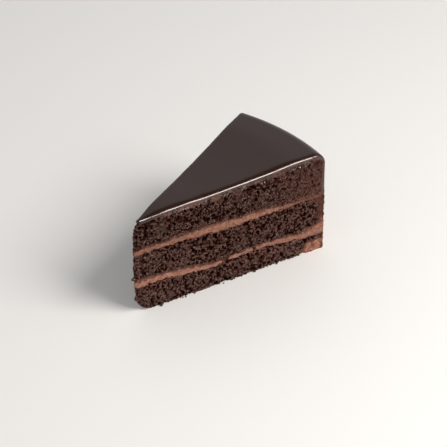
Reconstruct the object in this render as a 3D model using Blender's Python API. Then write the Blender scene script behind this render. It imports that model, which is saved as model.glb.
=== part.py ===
"""One slice of a round, layered chocolate cake.

Three chocolate sponges are sandwiched with two cream fillings. Cream coats the outer
side, with a thicker foot at the base, and a glaze covers the top and runs a little way
down the side. The slice stands on Z = 0 and lies along +Y, with its tip towards -Y.

The whole cake is round, so every piece is a closed outline of (radius, height) points,
spun about the middle of the cake through the angle of the slice. The outlines are those
of one cut face, and the layers wander a little on their way to the other one.
"""

import math

import bmesh
import bpy
import numpy as np
from mathutils import Matrix, Vector

MM = 0.001

# The cake and the slice
CAKE_RADIUS = 115 * MM
SLICE_ANGLE = math.radians(30)
LAYER_STEPS = 12
SKIN_STEPS = 24
GAP = 0.3 * MM

# The glaze
GLAZE_ON_TOP = 1.6 * MM
GLAZE_ON_SIDE = 2.5 * MM
RIM_ROUNDING = 6.5 * MM
RIM_POINTS = 7
GLAZE_EDGE = 35 * MM
EDGE_ROUNDING = 0.8 * MM
DRIP_BULGE = 0.8 * MM
SIDE_HEIGHTS = [height * MM for height in (52, 48, 44, 40)]

# The cream coat on the outer side: thin beside the lower filling, thick above it, and
# with a foot at the base whose inner shoulder is a few steps (across, up) from its toe
THIN_COAT = 1.2 * MM
COAT_STEP = 20 * MM
COAT_HEIGHTS = [height * MM for height in (28, 24)]
FOOT_WIDTH = 13 * MM
FOOT_SHOULDER = [(0.5 * MM, 2 * MM), (2.3 * MM, 6.7 * MM), (3.5 * MM, 7 * MM)]

# How far the layers wander, the nose is rounded and the glaze hangs in tongues
WANDER = 0.9 * MM
WANDER_LENGTH = 70 * MM
WANDER_TURN = 12 * MM
NOSE_REACH = 30 * MM
NOSE_ROUNDING = 0.233
TONGUE_DEPTH = 5 * MM
TONGUE_WIDTH = 20 * MM
TONGUE_TOP = 54 * MM

# Lines that show on the cut face, as (radius, height) in millimetres
GLAZE_TOP = [(0, 56.8), (18, 59.0), (45, 59.4), (75, 60.4), (98, 61.9), (115, 61.8)]
UPPER_TOP = [(0, 40.0), (28, 39.6), (50, 40.1), (66, 38.4), (82, 37.8), (96, 36.0), (115, 35.6)]
UPPER_BASE = [(0, 36.2), (14, 36.8), (30, 36.0), (60, 34.0), (78, 34.4), (96, 34.9), (115, 34.7)]
LOWER_TOP = [(0, 20.3), (28, 18.9), (40, 16.2), (54, 14.8), (68, 16.1), (90, 15.2), (105, 14.6), (115, 19.0)]
LOWER_BASE = [(0, 15.9), (16, 15.8), (30, 14.4), (44, 12.5), (55, 13.7), (86, 13.4), (100, 10.9), (115, 10.2)]

# How far the tip has crumbled back from the middle of the cake, as (height, radius)
TIP = [(0, 10), (2, 6.6), (5, 3.8), (9, 2.0), (15, 1.4), (40, 1.0), (50, 1.6), (54, 3.0), (58, 5.4)]

# Linear colour and roughness of each finish
SPONGE = ("sponge", (0.056, 0.027, 0.021), 0.9)
FILLING = ("filling_cream", (0.36, 0.17, 0.12), 0.55)
COAT = ("side_cream", (0.32, 0.15, 0.10), 0.5)
GLAZE = ("glaze", (0.017, 0.010, 0.009), 0.15)


def smooth_at(stations, place):
    """The value at a place in metres, on a smooth curve through stations in millimetres."""
    places, values = MM * np.array(stations, float).T
    slopes = np.gradient(values, places)
    place = min(max(place, places[0]), places[-1])
    right = int(np.clip(np.searchsorted(places, place), 1, len(places) - 1))
    left = right - 1
    width = places[right] - places[left]
    t = (place - places[left]) / width
    value = (2 * t**3 - 3 * t**2 + 1) * values[left] + (3 * t**2 - 2 * t**3) * values[right]
    value += width * ((t**3 - 2 * t**2 + t) * slopes[left] + (t**3 - t**2) * slopes[right])
    return float(value)


def tip_at(height):
    """The radius at which the crumbled tip starts."""
    return smooth_at(TIP, height)


def tip_on(stations, offset=0.0):
    """The radius at which a layer's line meets the crumbled tip."""
    return tip_at(smooth_at(stations, 0.0) + offset)


def line(stations, start, end, offset=0.0, count=18):
    """Points along a layer's line from one radius to another, raised by an offset."""
    radii = np.linspace(start, end, count)
    return [(radius, smooth_at(stations, radius) + offset) for radius in radii]


def tip_side(points, count=5):
    """Points down the crumbled tip, from the last point of an outline to the height of its first."""
    heights = np.linspace(points[-1][1], points[0][1], count + 1)[1:-1]
    return [(tip_at(height), height) for height in heights]


def rounded_rim(outer, top, width, drop):
    """A quarter round from level at the top to upright at the outer side."""
    turns = np.linspace(0, math.pi / 2, RIM_POINTS)
    return [(outer - width + width * math.sin(a), top - drop + drop * math.cos(a)) for a in turns]


def shoulder_points(lift=0.0):
    """The inner shoulder of the coat's foot, from its toe upwards."""
    toe = CAKE_RADIUS - FOOT_WIDTH - lift
    return [(toe, 0.0)] + [(toe + across, up + lift) for across, up in FOOT_SHOULDER]


def layer_outline(base, top, base_offset, top_offset, rim):
    """A layer between two lines of the cut face, out to a given radius."""
    points = line(base, tip_on(base, base_offset), rim, base_offset)
    points += reversed(line(top, tip_on(top, top_offset), rim, top_offset))
    return points + tip_side(points)


def sponge_bottom_outline():
    """The bottom sponge stands flat, and is notched at the rim for the foot of the coat."""
    toe, *shoulder = shoulder_points(lift=GAP)
    rim = CAKE_RADIUS - THIN_COAT - GAP
    points = [(radius, 0.0) for radius in np.linspace(tip_at(0.0), toe[0], 10)]
    points += [*shoulder, (rim, shoulder[-1][1])]
    points += reversed(line(LOWER_BASE, tip_on(LOWER_BASE), rim, -GAP))
    return points + tip_side(points, count=8)


def sponge_top_outline():
    """The top sponge has its upper rim rounded, to carry the glaze over the edge."""
    rim = CAKE_RADIUS - GLAZE_ON_SIDE - GAP
    under = GLAZE_ON_TOP + GAP
    width = RIM_ROUNDING - GLAZE_ON_SIDE
    crown = smooth_at(GLAZE_TOP, CAKE_RADIUS) - under
    points = line(UPPER_TOP, tip_on(UPPER_TOP), rim, GAP)
    points += reversed(rounded_rim(rim, crown, width, RIM_ROUNDING - GLAZE_ON_TOP))
    points += reversed(line(GLAZE_TOP, tip_on(GLAZE_TOP, -under), rim - width, -under)[:-1])
    return points + tip_side(points)


def side_cream_outline():
    """The coat: a foot at the base, thin beside the lower filling, thicker above it."""
    thin = CAKE_RADIUS - THIN_COAT
    thick = CAKE_RADIUS - GLAZE_ON_SIDE
    crest = GLAZE_EDGE - GAP
    toe, *shoulder = shoulder_points()
    outer = [(CAKE_RADIUS, height) for height in np.linspace(0.0, crest - EDGE_ROUNDING, 10)]
    inner = [
        (CAKE_RADIUS - EDGE_ROUNDING, crest),
        (thick + EDGE_ROUNDING / 2, crest),
        (thick, crest - EDGE_ROUNDING),
        *[(thick, height) for height in COAT_HEIGHTS],
        (thick, COAT_STEP),
        (thin, COAT_STEP - (GLAZE_ON_SIDE - THIN_COAT)),
        (thin, shoulder[-1][1]),
    ]
    return [toe, *outer, *inner, *reversed(shoulder)]


def glaze_outline():
    """The glaze: a thin sheet on top, rounded over the rim, that ends in a small bulge."""
    inner = CAKE_RADIUS - GLAZE_ON_SIDE
    width = RIM_ROUNDING - GLAZE_ON_SIDE
    rim_top = smooth_at(GLAZE_TOP, CAKE_RADIUS)
    crown = line(GLAZE_TOP, tip_on(GLAZE_TOP), CAKE_RADIUS - RIM_ROUNDING)
    points = crown[:-1] + rounded_rim(CAKE_RADIUS, rim_top, RIM_ROUNDING, RIM_ROUNDING)
    points += [(CAKE_RADIUS, height) for height in SIDE_HEIGHTS]
    points += [
        (CAKE_RADIUS, GLAZE_EDGE + 3 * EDGE_ROUNDING),
        (CAKE_RADIUS + DRIP_BULGE, GLAZE_EDGE + 1.5 * EDGE_ROUNDING),
        (CAKE_RADIUS + DRIP_BULGE / 2, GLAZE_EDGE),
        (inner + EDGE_ROUNDING, GLAZE_EDGE),
        (inner, GLAZE_EDGE + EDGE_ROUNDING),
    ]
    points += [(inner, height) for height in reversed(SIDE_HEIGHTS)]
    rim = rounded_rim(inner, rim_top - GLAZE_ON_TOP, width, RIM_ROUNDING - GLAZE_ON_TOP)
    underside = line(GLAZE_TOP, tip_on(GLAZE_TOP, -GLAZE_ON_TOP), inner - width, -GLAZE_ON_TOP)
    return [*points, *reversed(rim), *reversed(underside[:-1])]


def wander(radius, angle, height):
    """How far a layer rises towards the other cut face: not at all at the base and the top."""
    crown = smooth_at(GLAZE_TOP, radius)
    inside = math.sin(math.pi * min(max(height / crown, 0.0), 1.0))
    across = (SLICE_ANGLE / 2 - angle) / SLICE_ANGLE
    wave = math.sin(2 * math.pi * radius / WANDER_LENGTH + height / WANDER_TURN + 3 * across)
    return WANDER * inside * across * wave


def tongue(radius, angle, height):
    """The lower edge of the glaze hangs in soft tongues, and the coat's crest follows it."""
    if radius < CAKE_RADIUS - GLAZE_ON_SIDE - GAP / 2:
        return 0.0
    along = (SLICE_ANGLE / 2 - angle) * CAKE_RADIUS
    drop = TONGUE_DEPTH * math.sin(math.pi * along / TONGUE_WIDTH) ** 2
    drop *= 0.7 + 0.3 * math.cos(0.8 * math.pi * along / TONGUE_WIDTH)
    rise = (height - COAT_STEP) / (GLAZE_EDGE - COAT_STEP)
    fall = (TONGUE_TOP - height) / (TONGUE_TOP - GLAZE_EDGE)
    return -drop * min(max(min(rise, fall), 0.0), 1.0)


def settle(mesh):
    """Lets a spun piece wander, hang and round off at the nose as the real one does."""
    for vertex in mesh.vertices:
        x, y, height = vertex.co
        radius = math.hypot(x, y)
        angle = math.atan2(x, y)
        middle = 1 - (2 * angle / SLICE_ANGLE) ** 2
        near_tip = max(0.0, 1 - radius / NOSE_REACH)
        pull = 1 - NOSE_ROUNDING * middle * near_tip
        rise = wander(radius, angle, height) + tongue(radius, angle, height)
        vertex.co = (x * pull, y * pull, height + rise)


def finish_material(name, colour, roughness):
    """The material of that name, made the first time it is asked for."""
    material = bpy.data.materials.get(name) or bpy.data.materials.new(name)
    material.use_nodes = True
    shader = material.node_tree.nodes["Principled BSDF"]
    shader.inputs["Base Color"].default_value = (*colour, 1.0)
    shader.inputs["Roughness"].default_value = roughness
    material.diffuse_color = (*colour, 1.0)
    return material


def spun_piece(name, outline, steps, finish):
    """One closed piece: an outline on one cut face, spun about the middle of the cake."""
    to_cut_face = Matrix.Rotation(-SLICE_ANGLE / 2, 4, "Z")
    body = bmesh.new()
    corners = [body.verts.new(to_cut_face @ Vector((0.0, radius, height))) for radius, height in outline]
    cut_face = body.faces.new(corners)
    bmesh.ops.spin(
        body,
        geom=[cut_face, *cut_face.edges],
        cent=(0.0, 0.0, 0.0),
        axis=(0.0, 0.0, 1.0),
        angle=SLICE_ANGLE,
        steps=steps,
        use_duplicate=False,
    )
    bmesh.ops.remove_doubles(body, verts=body.verts, dist=0.01 * MM)
    bmesh.ops.recalc_face_normals(body, faces=body.faces)
    mesh = bpy.data.meshes.new(name)
    body.to_mesh(mesh)
    body.free()
    settle(mesh)
    mesh.shade_smooth()
    mesh.set_sharp_from_angle(angle=math.radians(35))
    mesh.materials.append(finish_material(*finish))
    piece = bpy.data.objects.new(name, mesh)
    bpy.context.scene.collection.objects.link(piece)
    return piece


def stand_over_origin(pieces):
    """Moves the pieces together so that the middle of their box is above the origin."""
    corners = np.array([vertex.co for piece in pieces for vertex in piece.data.vertices])
    middle = (corners.min(axis=0) + corners.max(axis=0)) / 2
    for piece in pieces:
        piece.data.transform(Matrix.Translation((-middle[0], -middle[1], 0.0)))


def main():
    for leftover in list(bpy.data.objects):
        bpy.data.objects.remove(leftover)
    thin_rim = CAKE_RADIUS - THIN_COAT - GAP
    thick_rim = CAKE_RADIUS - GLAZE_ON_SIDE - GAP
    lower = layer_outline(LOWER_BASE, LOWER_TOP, 0.0, 0.0, thin_rim)
    middle = layer_outline(LOWER_TOP, UPPER_BASE, GAP, -GAP, thick_rim)
    upper = layer_outline(UPPER_BASE, UPPER_TOP, 0.0, 0.0, thick_rim)
    pieces = [
        spun_piece("sponge_bottom", sponge_bottom_outline(), LAYER_STEPS, SPONGE),
        spun_piece("filling_lower", lower, LAYER_STEPS, FILLING),
        spun_piece("sponge_middle", middle, LAYER_STEPS, SPONGE),
        spun_piece("filling_upper", upper, LAYER_STEPS, FILLING),
        spun_piece("sponge_top", sponge_top_outline(), LAYER_STEPS, SPONGE),
        spun_piece("glaze", glaze_outline(), SKIN_STEPS, GLAZE),
        spun_piece("side_cream", side_cream_outline(), SKIN_STEPS, COAT),
    ]
    stand_over_origin(pieces)


main()
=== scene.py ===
# %% [markdown]
# # A slice of chocolate cake
#
# The slice has three dark sponges, two thin cream fillings, a cream-coated outer side and
# a smooth glaze. Its solids are already built to size, and this file gives each of them
# its real surface: crumb that is open and torn, cream dragged by the knife, and a glaze
# whose cut edge is soft and shiny. The solids stay where they are. Each fine piece is
# made to lie where its solid lies, and then stands in for it.

# %% Load the frame
import math

import bpy
import numpy as np
from mathutils import Matrix, Vector, noise
from mathutils.bvhtree import BVHTree


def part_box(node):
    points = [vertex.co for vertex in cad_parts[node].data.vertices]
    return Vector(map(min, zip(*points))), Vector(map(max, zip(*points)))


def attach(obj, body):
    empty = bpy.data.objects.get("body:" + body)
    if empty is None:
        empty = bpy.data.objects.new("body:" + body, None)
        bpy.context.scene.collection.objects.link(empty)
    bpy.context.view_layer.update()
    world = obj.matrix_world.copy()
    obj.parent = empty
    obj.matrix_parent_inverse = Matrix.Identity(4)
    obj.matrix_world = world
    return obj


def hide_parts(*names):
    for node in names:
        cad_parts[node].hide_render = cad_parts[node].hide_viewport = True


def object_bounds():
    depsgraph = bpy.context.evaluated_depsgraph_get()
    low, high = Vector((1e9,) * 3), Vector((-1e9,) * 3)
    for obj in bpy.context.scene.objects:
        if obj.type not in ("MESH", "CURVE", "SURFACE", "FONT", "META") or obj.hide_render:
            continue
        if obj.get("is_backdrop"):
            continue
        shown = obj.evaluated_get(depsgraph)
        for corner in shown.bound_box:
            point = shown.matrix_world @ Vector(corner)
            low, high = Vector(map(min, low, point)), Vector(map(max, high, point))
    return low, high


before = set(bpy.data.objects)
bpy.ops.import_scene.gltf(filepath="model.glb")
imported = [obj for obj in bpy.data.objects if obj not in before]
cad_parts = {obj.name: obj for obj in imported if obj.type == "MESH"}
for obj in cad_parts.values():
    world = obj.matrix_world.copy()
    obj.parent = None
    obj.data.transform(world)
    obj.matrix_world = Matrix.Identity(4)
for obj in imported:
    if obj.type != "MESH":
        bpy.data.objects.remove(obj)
cad_low, cad_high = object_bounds()
print("solids:", sorted(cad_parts))
print("their box in mm:", [round(1000 * side, 1) for side in cad_high - cad_low])

# %% [markdown]
# ## Measures
#
# The slice was cut from a round cake, so most places are easiest to give as a radius from
# the middle of the cake, an angle and a height. The middle lies one cake radius behind
# the outermost point of the cream coat. Angles run from +15 degrees on the cut face that
# the camera sees, the near cut, to -15 degrees on the far cut.

# %% Measures of the cake
MM = 0.001
CAKE_RADIUS = 115 * MM
HALF_ANGLE = math.radians(15)
MIDDLE_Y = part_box("side_cream")[1].y - CAKE_RADIUS
print("middle of the cake at y =", round(1000 * MIDDLE_Y, 2), "mm")


def polar(points):
    """Radius, angle and height of points, as three arrays."""
    x, y = points[:, 0], points[:, 1] - MIDDLE_Y
    return np.hypot(x, y), np.arctan2(x, y), points[:, 2]


def from_polar(radius, angle, height):
    """The points at these radii, angles and heights."""
    return np.column_stack([radius * np.sin(angle), MIDDLE_Y + radius * np.cos(angle), height])


def one_spot(radius, angle, height=0):
    """The same for a single point."""
    return from_polar(np.array([radius]), np.array([angle]), height)[0]

# %% [markdown]
# ## A sheet spun through the slice
#
# Every layer of a round cake is the same all the way round, so each piece starts as an
# upright sheet of small squares on the near cut and is spun about the middle of the cake,
# as a turntable would carry it, until it reaches the far cut. That gives a closed wedge
# with even squares on both cut faces, which is where the detail will be wanted. A voxel
# remesh would give even squares too, but it would spend half of them on faces that lie
# hidden between the layers.
#
# Operators act on whatever is selected, and in edit mode on what is selected there, so two
# helpers make sure of that first.

# %% Select and edit
def only(piece):
    """Leaves one object selected and active, which is what the operators act on."""
    bpy.ops.object.select_all(action="DESELECT")
    piece.select_set(True)
    bpy.context.view_layer.objects.active = piece


def in_edit_mode(piece, *steps):
    """Runs operators in edit mode, each with the whole mesh selected."""
    only(piece)
    bpy.ops.object.mode_set(mode="EDIT")
    for step in steps:
        bpy.ops.mesh.select_all(action="SELECT")
        step()
    bpy.ops.object.mode_set(mode="OBJECT")

# %% [markdown]
# A vertex of the spun wedge is known by three shares from 0 to 1: how far it lies along
# the wedge from its tip, across it from the near cut, and up it. A piece has tens of
# thousands of vertices, so their places are copied out as one array, which takes a moment
# where a loop over vertices would take minutes.

# %% Spin a sheet
def spin_to_far_cut(steps):
    """Spins the selected sheet as far as the far cut."""
    bpy.ops.mesh.spin(
        steps=steps, angle=-2 * HALF_ANGLE, center=(0, MIDDLE_Y, 0), axis=(0, 0, 1)
    )


def points_of(piece):
    """The places of a piece's vertices, as one array."""
    places = np.empty(3 * len(piece.data.vertices), np.float32)
    piece.data.vertices.foreach_get("co", places)
    return places.reshape(-1, 3).astype(float)


def shares(piece, start, length, height, size):
    """How far each vertex lies along, across and up the wedge, from 0 to 1.

    Each share is rounded to whole squares, so that it is exactly 0 or 1 on a face.
    """
    columns, rows, steps = size
    radius, angle, level = polar(points_of(piece))
    along = (radius - start) / length
    across = (HALF_ANGLE - angle) / (2 * HALF_ANGLE)
    whole = ((along, columns), (across, steps), (level / height, rows))
    return [np.rint(share * count) / count for share, count in whole]


def spun_sheet(name, start, length, height, size):
    """A wedge of small squares on the floor, from a radius outwards, and its three shares.

    The size is how many squares it has along and up, and in how many steps it is spun.
    """
    columns, rows, steps = size
    away = Vector((math.sin(HALF_ANGLE), math.cos(HALF_ANGLE), 0))
    bpy.ops.mesh.primitive_grid_add(
        x_subdivisions=columns,
        y_subdivisions=rows,
        size=1,
        location=Vector((0, MIDDLE_Y, height / 2)) + away * (start + length / 2),
        rotation=(math.pi / 2, 0, math.pi / 2 - HALF_ANGLE),
    )
    piece = bpy.context.object
    piece.name = piece.data.name = name
    piece.scale = (length, height, 1)
    only(piece)
    bpy.ops.object.transform_apply(location=True, rotation=True, scale=True)
    in_edit_mode(
        piece,
        lambda: spin_to_far_cut(steps),
        lambda: bpy.ops.mesh.remove_doubles(threshold=1e-6),
        lambda: bpy.ops.mesh.normals_make_consistent(inside=False),
    )
    print(name, "starts with", 2 * len(piece.data.polygons), "triangles")
    return piece, *shares(piece, start, length, height, size)

# %% [markdown]
# ## Feeling for the solids
#
# The spun wedge has the right squares but flat faces, while the real layers wander. Their
# true places are known: they are the faces of the frame's solids. A probe, which is a
# straight line sent from outside until it touches a solid, finds them. A plumb line gives
# the top and the base of a layer at any spot, and a level line from the middle of the cake
# gives its rounded tip. The fine piece is then led to those places.

# %% Probe a solid
def inside_angle(angle):
    """The same angle, kept a hair inside the cut faces so that a probe meets the solid."""
    most = 0.998 * HALF_ANGLE
    return max(-most, min(most, angle))


class Solid:
    """One solid of the frame, felt with straight probes."""

    FAR_OFF = 0.3
    INSIDE = 0.15 * MM
    BEFORE_TIP = 5 * MM

    def __init__(self, node):
        graph = bpy.context.evaluated_depsgraph_get()
        self.tree = BVHTree.FromObject(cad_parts[node], graph)
        low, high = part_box(node)
        self.low, self.high = low.z, high.z

    def touch(self, start, direction, otherwise):
        """Where a probe first touches, or a fallback if it passes by."""
        found = self.tree.ray_cast(Vector(start), Vector(direction))[0]
        return found if found is not None else otherwise

    def top(self, angle, radius):
        """The height where a plumb line from above enters."""
        x, y, _ = one_spot(radius, inside_angle(angle))
        return self.touch((x, y, self.FAR_OFF), (0, 0, -1), Vector((x, y, self.high))).z

    def base(self, angle, radius):
        """The height where a plumb line from below enters."""
        x, y, _ = one_spot(radius, inside_angle(angle))
        return self.touch((x, y, -self.FAR_OFF), (0, 0, 1), Vector((x, y, self.low))).z

    def tip(self, angle, height):
        """The radius where a level line from the middle of the cake enters."""
        angle = inside_angle(angle)
        middle = Vector((0, MIDDLE_Y, height))
        away = Vector((math.sin(angle), math.cos(angle), 0))
        return (self.touch(middle, away, middle + away * self.BEFORE_TIP) - middle).length

    def front(self, aside, height):
        """How far back a level line enters that runs beside the middle plane of the slice."""
        start = Vector((aside, MIDDLE_Y - self.BEFORE_TIP, height))
        on_cut = Vector((aside, MIDDLE_Y + aside / math.tan(HALF_ANGLE), height))
        return self.touch(start, (0, 1, 0), on_cut).y


near_rim = Solid("sponge_top").top(HALF_ANGLE, 100 * MM)
print("the top sponge reaches up to", round(1000 * near_rim, 1), "mm near its rim")

# %% [markdown]
# ## Reading between the probes
#
# A probe for each of fifty thousand vertices would be slow and no better than one for each
# column of a coarse net, because the layers bend slowly. So each face is felt on such a
# net, and its height anywhere is read in between.

# %% Read a net
class Net:
    """Values known on a net of places, read in between them."""

    def __init__(self, across, along, values):
        self.across, self.along, self.values = across, along, np.array(values)

    def at(self, a, b):
        """The values at these places, each read between its four neighbours."""
        a = np.interp(a, self.across, np.arange(len(self.across)))
        b = np.interp(b, self.along, np.arange(len(self.along)))
        i = np.minimum(a.astype(int), len(self.across) - 2)
        j = np.minimum(b.astype(int), len(self.along) - 2)
        u, v = a - i, b - j
        low = self.values[i, j] * (1 - v) + self.values[i, j + 1] * v
        high = self.values[i + 1, j] * (1 - v) + self.values[i + 1, j + 1] * v
        return low * (1 - u) + high * u


def felt(probe, across, along):
    """A net of what a probe finds at each of its places."""
    return Net(across, along, [[probe(a, b) for b in along] for a in across])


def angles_across(count):
    """Even angles from the far cut to the near one."""
    return np.linspace(-HALF_ANGLE, HALF_ANGLE, count)

# %% [markdown]
# ## Leading a wedge into its layer
#
# The tip of the slice is rounded and a little crumbled back, so a column of squares can't
# simply run out from the middle of the cake. Instead the solid is cut into level sections,
# and each section is walked: from the middle of the tip round to the near cut, and out to
# the rim. The far half mirrors it. Then every column is stretched between the base and
# the top of the layer.
#
# On the way a piece gets some overlap up and down, and a reach past its rim. Layers that
# run a little into each other hide each other unevenly, as they do on a real cut, and no
# gap shows between them.

# %% Lead a wedge
TIP_STRIP = 0.4 * MM
TIP_WIDTH = 4 * MM
TOP_FROM, BASE_FROM = 6 * MM, 11 * MM
WEDGE_START, WEDGE_HEIGHT = 2 * MM, 20 * MM
REACH, REACHING = 1.0 * MM, 3 * MM


def ease(low, high, value):
    """0 below low, 1 above high and a soft S between, also where high is the lower one."""
    t = np.clip((value - low) / (high - low), 0.0, 1.0)
    return t * t * (3 - 2 * t)


def place_points(piece, places):
    """Moves a piece's vertices to these places."""
    piece.data.vertices.foreach_set("co", places.astype(np.float32).ravel())
    piece.data.update()


def outline(solid, height, rim, shares_along):
    """The near half of a level section, as radii and angles at even steps along it."""
    x = np.linspace(0, TIP_WIDTH, 30)
    y = np.array([solid.front(aside, height) for aside in x]) - MIDDLE_Y
    x = np.append(x, rim * math.sin(HALF_ANGLE))
    y = np.append(y, rim * math.cos(HALF_ANGLE))
    walked = np.append(0, np.cumsum(np.hypot(np.diff(x), np.diff(y))))
    at = TIP_STRIP + shares_along * (walked[-1] - TIP_STRIP)
    x, y = np.interp(at, walked, x), np.interp(at, walked, y)
    return np.hypot(x, y), np.arctan2(x, y)


def led_wedge(node, rim, size, overlap):
    """A wedge of small squares whose faces lie on those of one solid, out to its rim."""
    length = rim - WEDGE_START
    piece, along, across, up = spun_sheet("fine_" + node, WEDGE_START, length, WEDGE_HEIGHT, size)
    solid = Solid(node)
    angles, radii = angles_across(13), np.linspace(TOP_FROM, rim - Solid.INSIDE, 60)
    tops = felt(solid.top, angles, radii)
    bases = felt(lambda angle, radius: solid.base(angle, max(radius, BASE_FROM)), angles, radii)
    levels = np.linspace(solid.low + Solid.INSIDE, solid.high - Solid.INSIDE, 24)
    even = np.linspace(0, 1, size[0] + 1)
    sections = np.array([outline(solid, level, rim, even) for level in levels])
    tip_base, tip_top = bases.at(0, TOP_FROM), tops.at(0, TOP_FROM)
    level = tip_base + (tip_top - tip_base) * up
    radius = Net(levels, even, sections[:, 0]).at(level, along)
    radius += REACH * ease(rim - REACHING, rim, radius)
    angle = Net(levels, even, sections[:, 1]).at(level, along) * (1 - 2 * across)
    low = np.maximum(bases.at(angle, radius) - overlap, 0)
    high = tops.at(angle, radius) + overlap
    place_points(piece, from_polar(radius, angle, low + (high - low) * up))
    print(node, "is", round(1000 * (high - low).mean(), 1), "mm high on average")
    return piece, along, across, up

# %% [markdown]
# ## Relief from textures
#
# Sponge is a set foam. The knife opens its bubbles and tears the walls between them, so
# the cut shows round pores of many sizes in a rough, grainy field. Displace modifiers do
# this well: a cell texture whose dark centres are pressed in opens the pores, because a
# flat cut through round cells shows them in all sizes, and cloud textures give the grain
# and the slow unevenness. A vertex group says how strongly each vertex is worked.

# %% Press textures in
def ramped(texture, low, high):
    """Turns a texture into 0 below low and 1 above high, with soft shoulders between them."""
    texture.use_color_ramp = True
    ramp = texture.color_ramp
    ramp.interpolation = "EASE"
    ramp.elements[0].position, ramp.elements[0].color = low, (0, 0, 0, 1)
    ramp.elements[1].position, ramp.elements[1].color = high, (1, 1, 1, 1)
    return texture


def cell_texture(name, size, low, high):
    """Uneven pits, one for each cell: 0 at a pit's middle, 1 from its rim outwards."""
    texture = bpy.data.textures.new(name, "DISTORTED_NOISE")
    texture.noise_basis = "VORONOI_F1"
    texture.noise_distortion = "ORIGINAL_PERLIN"
    texture.distortion = 0.6
    texture.noise_scale = size
    texture.contrast, texture.intensity = 0.5, 1.25
    return ramped(texture, low, high)


def cloud_texture(name, size, depth):
    """Soft clouds around a middle of one half."""
    texture = bpy.data.textures.new(name, "CLOUDS")
    texture.noise_scale = size
    texture.noise_depth = depth
    return texture


def group_of(piece, name, weights):
    """A vertex group with a weight for each vertex, in steps of a fiftieth."""
    group = piece.vertex_groups.new(name=name)
    steps = np.rint(50 * np.clip(weights, 0, 1)).astype(int)
    for step in range(1, 51):
        group.add(np.flatnonzero(steps == step).tolist(), step / 50, "REPLACE")
    return group.name


def displace(piece, texture, depth, middle, group=""):
    """Presses a texture into a piece along its normals, and makes that final."""
    only(piece)
    bpy.ops.object.modifier_add(type="DISPLACE")
    relief = piece.modifiers[-1]
    relief.texture = texture
    relief.texture_coords = "LOCAL"
    relief.strength = depth
    relief.mid_level = middle
    relief.vertex_group = group
    bpy.ops.object.modifier_apply(modifier=relief.name)


BIG_PORES = cell_texture("big_pores", 2.9 * MM, 0.12, 0.48)
SMALL_PORES = cell_texture("small_pores", 1.25 * MM, 0.10, 0.55)
CLUMPS = ramped(cloud_texture("clumps", 1.25 * MM, 2), 0.36, 0.56)
GRAIN = cloud_texture("grain", 0.55 * MM, 1)
LUMPS = cloud_texture("lumps", 2.6 * MM, 1)
UNEVEN = cloud_texture("uneven", 14 * MM, 1)
print("textures:", [texture.name for texture in bpy.data.textures])

# %% [markdown]
# ## Torn crumb
#
# Only the cut faces and the tip are torn. The slow unevenness and the lumps come first,
# then the pores, each size pressed in from the surface, and last the grain. What the pores
# and the grain took away is noted on each vertex as its pit, in millimetres, so that the
# finish can paint shade inside a pore. Such a note is what Blender calls an attribute. Some
# patches of crumb are denser than the rest, with fewer open pores, and are noted too.
#
# First come four helpers: two for the directions in which a face is pushed, one for noise
# over the vertices, and one that notes values on them.

# %% Measure and note vertices
def normals_of(piece):
    """The normal at each vertex, as one array."""
    found = np.empty(3 * len(piece.data.vertices), np.float32)
    piece.data.vertex_normals.foreach_get("vector", found)
    return found.reshape(-1, 3).astype(float)


def outwards(piece):
    """The level part of the normal at each vertex, which keeps edges from curling."""
    level = normals_of(piece) * (1, 1, 0)
    return level / np.maximum(np.linalg.norm(level, axis=1), 1e-9)[:, None]


def wander(places, size):
    """Smooth noise for each place, mostly between -1 and 1."""
    return np.array([2 * noise.noise(Vector(place) / size) for place in places])


def note(piece, name, values):
    """Keeps a value for each vertex as an attribute that the finish can read."""
    attribute = piece.data.attributes.new(name, "FLOAT", "POINT")
    attribute.data.foreach_set("value", np.asarray(values, np.float32))

# %% [markdown]
# Where a torn face meets another layer, its edge keeps its height, because the
# displacement would curl it into that layer. Where the crumb is dense, or the knife has
# closed its pores, it is calmer than elsewhere.

# %% Tear the crumb
CRUMB_RELIEF = (
    (BIG_PORES, 1.1 * MM, 1.0),
    (CLUMPS, 0.7 * MM, 1.0),
    (SMALL_PORES, 0.5 * MM, 1.0),
    (GRAIN, 0.35 * MM, 0.5),
)


def cut_faces(across):
    """True for the vertices on the near and the far cut."""
    return (across == 0) | (across == 1)


def tear_crumb(piece, along, across, up, calm, proud):
    """Opens and roughens the cut faces and the tip, the less the calmer they are.

    Last it moves them out by how proud they stand, or in where that is negative.
    """
    on_cut = cut_faces(across) | (along == 0)
    dense = 0.38 * ease(0.05, 0.75, wander(points_of(piece), 8 * MM))
    rough = group_of(piece, "rough", on_cut * (1 - 0.75 * np.maximum(calm, dense)))
    cut = group_of(piece, "cut", on_cut)
    flat, normals, out = points_of(piece), normals_of(piece), outwards(piece)
    displace(piece, UNEVEN, 1.0 * MM, 0.5, cut)
    displace(piece, LUMPS, 0.6 * MM, 0.5, rough)
    before = points_of(piece)
    for texture, depth, middle in CRUMB_RELIEF:
        displace(piece, texture, depth, middle, rough)
    torn = points_of(piece)
    pit = -((torn - before) * normals).sum(axis=1) / MM
    edges = (up == 1) | ((up == 0) & (flat[:, 2] > 1 * MM))
    torn[edges, 2] = flat[edges, 2]
    place_points(piece, torn + out * (proud * on_cut)[:, None])
    note(piece, "pit", pit)
    note(piece, "dense", dense)
    print(piece.name, "pits in mm:", np.percentile(pit[on_cut], (1, 50, 99)).round(2))
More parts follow.
